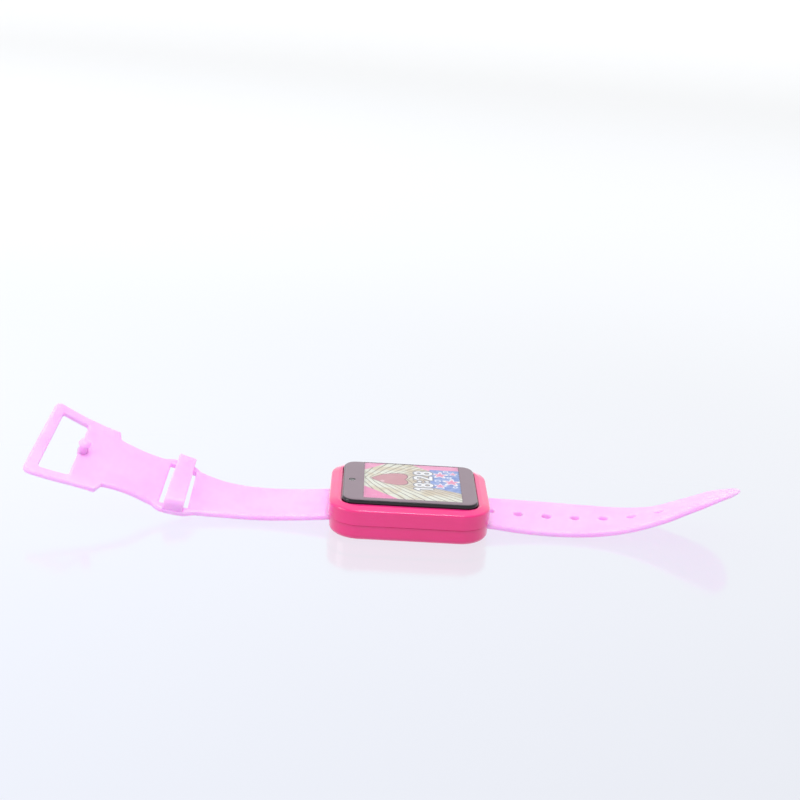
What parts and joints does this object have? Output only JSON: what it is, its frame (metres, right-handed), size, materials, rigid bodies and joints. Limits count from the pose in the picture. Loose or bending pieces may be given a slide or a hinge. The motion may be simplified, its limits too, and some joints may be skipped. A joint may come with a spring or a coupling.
{
  "type": "toy smart watch",
  "caption": "Child's toy smart watch with a square touch screen in a rounded case, and a soft one-piece strap with a keeper loop and a peg buckle.",
  "frame": {"origin": "centre of the case back's flat face", "axes": "+X along the strap towards the 6 o'clock end with the holes, +Y to the 3 o'clock side, +Z out of the screen"},
  "size_m": [0.2032, 0.0382, 0.0267],
  "materials": {
    "hot_pink_plastic": "satin",
    "strap_rubber": "soft matte",
    "black_glass": "gloss",
    "black_print": "matte",
    "adhesive": "matte",
    "lit_picture": "gloss",
    "display_glass": "gloss",
    "flex_film": "gloss",
    "camera_black": "gloss",
    "board_green": "satin",
    "chip_black": "matte",
    "screw_steel": "satin",
    "battery_foil": "satin",
    "foam": "matte",
    "lead_insulation": "satin",
    "speaker_black": "matte",
    "can_metal": "satin"
  },
  "bodies": {
    "case": {"upper_housing": "hot_pink_plastic", "lower_housing": "hot_pink_plastic", "screen_lens": "black_glass", "lens_mask": "black_print", "lens_adhesive": "adhesive", "display_picture": "lit_picture", "display_panel": "display_glass", "display_pad": "foam", "display_flex": "flex_film", "camera_module": "camera_black", "camera_flex": "flex_film", "circuit_board": "board_green", "board_chips": "chip_black", "board_screws": "screw_steel", "battery": "battery_foil", "battery_pad": "foam", "battery_leads": "lead_insulation", "speaker": "speaker_black", "microphone": "can_metal", "tact_switch": "chip_black", "charge_socket": "can_metal", "housing_screws": "screw_steel", "buckle_pin": "screw_steel", "tail_pin": "screw_steel"},
    "button": {"side_button": "hot_pink_plastic"},
    "flap": {"port_flap": "hot_pink_plastic"},
    "buckle_half": {"buckle_strap": "strap_rubber"},
    "tail_half": {"tail_strap": "strap_rubber"}
  },
  "joints": [
    {"name": "buckle_strap_hinge", "type": "hinge", "parent": "case", "child": "buckle_half", "pos_m": [-0.0202, 0, 0.003], "axis": [0, -1, 0], "range_deg": [-8, 85]},
    {"name": "tail_strap_hinge", "type": "hinge", "parent": "case", "child": "tail_half", "pos_m": [0.0202, 0, 0.003], "axis": [0, 1, 0], "range_deg": [-8, 85]},
    {"name": "side_button_press", "type": "slide", "parent": "case", "child": "button", "axis": [0, -1, 0], "range_m": [0, 0.00035], "stiffness_N_per_m": 400, "springref_m": -0.0005},
    {"name": "port_flap_hinge", "type": "hinge", "parent": "case", "child": "flap", "pos_m": [0.0015, 0.0184, 0.00625], "axis": [0, 0, 1], "range_deg": [0, 90]}
  ]
}
